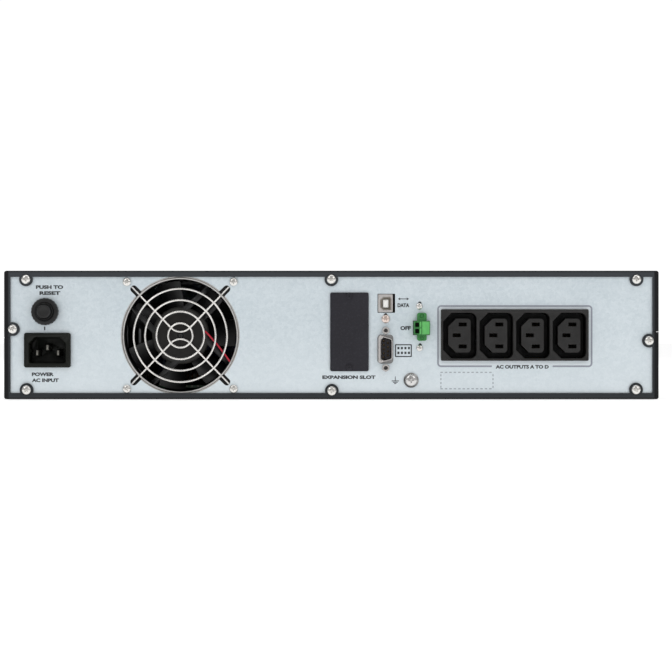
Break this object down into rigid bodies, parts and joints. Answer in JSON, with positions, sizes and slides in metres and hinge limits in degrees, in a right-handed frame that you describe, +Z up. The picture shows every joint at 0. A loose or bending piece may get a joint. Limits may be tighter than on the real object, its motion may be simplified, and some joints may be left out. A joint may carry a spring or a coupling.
{
  "type": "rackmount uninterruptible power supply",
  "caption": "Rack-mount uninterruptible power supply: folded steel case, rear panel with cooling fan, mains inlet, breaker, outlets, data ports and a pull-off relay terminal.",
  "frame": {"origin": "centre of the footprint, on the plane the case rests on", "axes": "+X to the right when looking at the connector panel, +Y from the connector panel towards the front bezel, +Z up"},
  "size_m": [0.438, 0.436, 0.086],
  "materials": {
    "case_paint": "fine-textured dark grey powder coat",
    "zinc_sheet": "zinc-plated sheet, pale blue-grey, matt with a fine mottle",
    "zinc_screw": "bright zinc plating",
    "black_screw": "black zinc plating",
    "copper_screw": "bright plating with a warm tint",
    "chrome_wire": "bright nickel-chrome plated wire",
    "nickel": "nickel-plated contact metal",
    "fan_plastic": "moulded black, slightly glossy",
    "red_lead": "red wire insulation",
    "inlet_plastic": "moulded black",
    "outlet_plastic": "moulded black, fine grain",
    "black_plastic": "moulded black",
    "dark_plastic": "moulded dark grey",
    "white_plastic": "moulded off-white",
    "green_plastic": "moulded green",
    "slot_paint": "dark grey powder coat",
    "board": "green solder mask on glass-fibre board",
    "bare_aluminium": "bare extruded aluminium",
    "steel_core": "varnished laminated core with a taped winding",
    "battery_case": "moulded dark grey",
    "bezel_plastic": "moulded black, fine spark texture",
    "button_plastic": "moulded dark grey",
    "window": "smoked glossy window"
  },
  "bodies": {
    "chassis": {"base_tray": "case_paint", "battery_1": "battery_case", "battery_2": "battery_case", "battery_3": "battery_case", "battery_bracket": "zinc_sheet", "breaker_body": "black_plastic", "breaker_nut": "black_plastic", "case_screw_1": "zinc_screw", "case_screw_2": "zinc_screw", "case_screw_3": "zinc_screw", "case_screw_4": "zinc_screw", "case_screw_5": "zinc_screw", "case_screw_6": "zinc_screw", "case_screw_7": "zinc_screw", "case_screw_8": "zinc_screw", "comm_board": "board", "epo_header": "green_plastic", "epo_screw_bottom": "zinc_screw", "epo_screw_top": "zinc_screw", "fan_frame": "fan_plastic", "fan_guard": "chrome_wire", "fan_lead": "red_lead", "fan_screw_1": "zinc_screw", "fan_screw_2": "zinc_screw", "fan_screw_3": "zinc_screw", "fan_screw_4": "zinc_screw", "front_plate": "zinc_sheet", "ground_screw": "zinc_screw", "heatsink": "bare_aluminium", "inlet_housing": "inlet_plastic", "inlet_pin_earth": "nickel", "inlet_pin_live": "nickel", "inlet_pin_neutral": "nickel", "main_board": "board", "outlet_core_1": "outlet_plastic", "outlet_core_2": "outlet_plastic", "outlet_core_3": "outlet_plastic", "outlet_core_4": "outlet_plastic", "outlet_frame": "outlet_plastic", "rear_panel": "zinc_sheet", "serial_insert": "black_plastic", "serial_jackscrew_bottom": "nickel", "serial_jackscrew_top": "nickel", "serial_shell": "nickel", "slot_cover": "slot_paint", "slot_screw_bottom": "black_screw", "slot_screw_top": "black_screw", "top_cover": "case_paint", "transformer": "steel_core", "usb_screw": "copper_screw", "usb_shell": "nickel", "usb_tongue": "white_plastic"},
    "fan": {"fan_rotor": "fan_plastic"},
    "breaker_push": {"breaker_button": "dark_plastic"},
    "epo_terminal": {"epo_plug": "green_plastic"},
    "bezel": {"front_bezel": "bezel_plastic", "display_window": "window", "display_board": "board"},
    "power_key": {"power_button": "button_plastic"},
    "menu_key": {"menu_button": "button_plastic"}
  },
  "joints": [
    {"name": "fan_spin", "type": "hinge", "parent": "chassis", "child": "fan", "pos_m": [-0.1012, -0.1902, 0.0427], "axis": [0, 1, 0], "continuous": true},
    {"name": "breaker_reset", "type": "slide", "parent": "chassis", "child": "breaker_push", "axis": [0, -1, 0], "range_m": [-0.0015, 0.004]},
    {"name": "epo_pull", "type": "slide", "parent": "chassis", "child": "epo_terminal", "axis": [0, -1, 0], "range_m": [0, 0.012]},
    {"name": "bezel_pull", "type": "slide", "parent": "chassis", "child": "bezel", "axis": [0, 1, 0], "range_m": [0, 0.04]},
    {"name": "power_press", "type": "slide", "parent": "bezel", "child": "power_key", "axis": [0, -1, 0], "range_m": [0, 0.0012], "stiffness_N_per_m": 400},
    {"name": "menu_press", "type": "slide", "parent": "bezel", "child": "menu_key", "axis": [0, -1, 0], "range_m": [0, 0.0012], "stiffness_N_per_m": 400}
  ]
}
